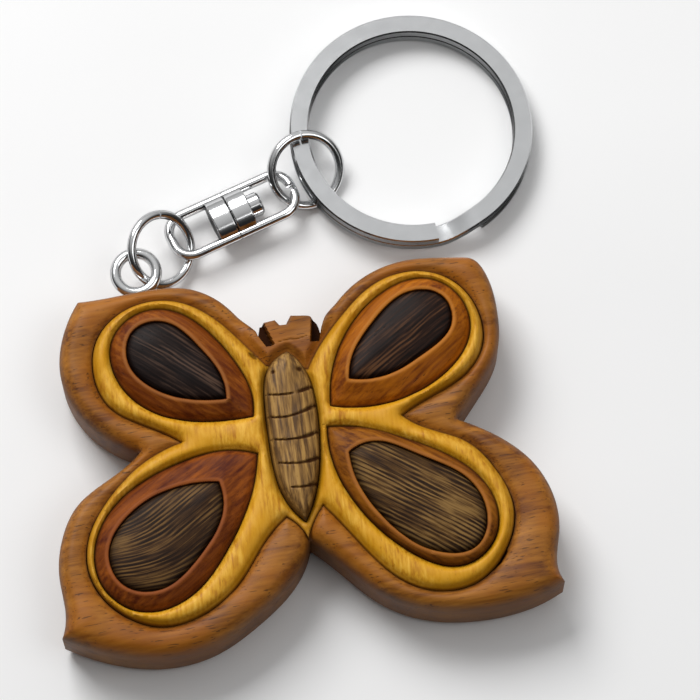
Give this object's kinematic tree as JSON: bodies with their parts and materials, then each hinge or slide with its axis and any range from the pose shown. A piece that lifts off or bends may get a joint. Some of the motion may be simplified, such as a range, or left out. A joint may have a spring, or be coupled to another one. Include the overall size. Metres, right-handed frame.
{
  "type": "butterfly keychain",
  "caption": "Carved wooden butterfly keychain with inlaid wings and body, hung from a flat split key ring by a screw eye, jump rings and a swivel.",
  "frame": {"origin": "middle of the butterfly's flat back, on the body's centre line", "axes": "+X along the wing span, +Y towards the head, +Z out of the decorated face"},
  "size_m": [0.0641, 0.0787, 0.011],
  "materials": {
    "base_wood": "satin",
    "yellow_wood": "satin",
    "red_wood": "satin",
    "dark_wood": "satin",
    "brown_wood": "satin",
    "striped_wood": "satin",
    "plated_steel": "polished",
    "polished_ring": "polished"
  },
  "bodies": {
    "butterfly": {"wing_base": "base_wood", "wing_panel": "yellow_wood", "body_spindle": "striped_wood", "upper_left_wing_frame": "red_wood", "upper_right_wing_frame": "red_wood", "lower_left_wing_frame": "red_wood", "lower_right_wing_frame": "red_wood", "upper_left_wing_inlay": "dark_wood", "upper_right_wing_inlay": "dark_wood", "lower_left_wing_inlay": "brown_wood", "lower_right_wing_inlay": "brown_wood", "screw_eye": "plated_steel"},
    "lower_ring": {"lower_jump_ring": "plated_steel"},
    "lower_link": {"swivel_lower_link": "plated_steel", "swivel_pin": "plated_steel"},
    "upper_link": {"swivel_upper_link": "plated_steel"},
    "upper_ring": {"upper_jump_ring": "plated_steel"},
    "key_ring": {"split_ring": "polished_ring"}
  },
  "joints": [
    {"name": "lower_ring_swing", "type": "hinge", "parent": "butterfly", "child": "lower_ring", "pos_m": [-0.017, 0.0258, 0.0049], "axis": [1, 0, 0], "range_deg": [0, 90]},
    {"name": "swivel_swing", "type": "hinge", "parent": "lower_ring", "child": "lower_link", "pos_m": [-0.01363, 0.02619, 0.00403], "axis": [0.5455, -0.3272, 0.7716], "range_deg": [-4, 60]},
    {"name": "swivel_spin", "type": "hinge", "parent": "lower_link", "child": "upper_link", "pos_m": [-0.0127, 0.0273, 0.00245], "axis": [0.9478, 0.319, 0.0058], "continuous": true},
    {"name": "upper_ring_swing", "type": "hinge", "parent": "upper_link", "child": "upper_ring", "pos_m": [0.00313, 0.03263, 0.00255], "axis": [-0.316, 0.9411, -0.1201], "range_deg": [-18, 32]},
    {"name": "key_ring_swing", "type": "hinge", "parent": "upper_ring", "child": "key_ring", "pos_m": [0.00513, 0.0347, 0.00282], "axis": [0.2469, -0.4518, 0.8573], "range_deg": [-9, 55]}
  ]
}
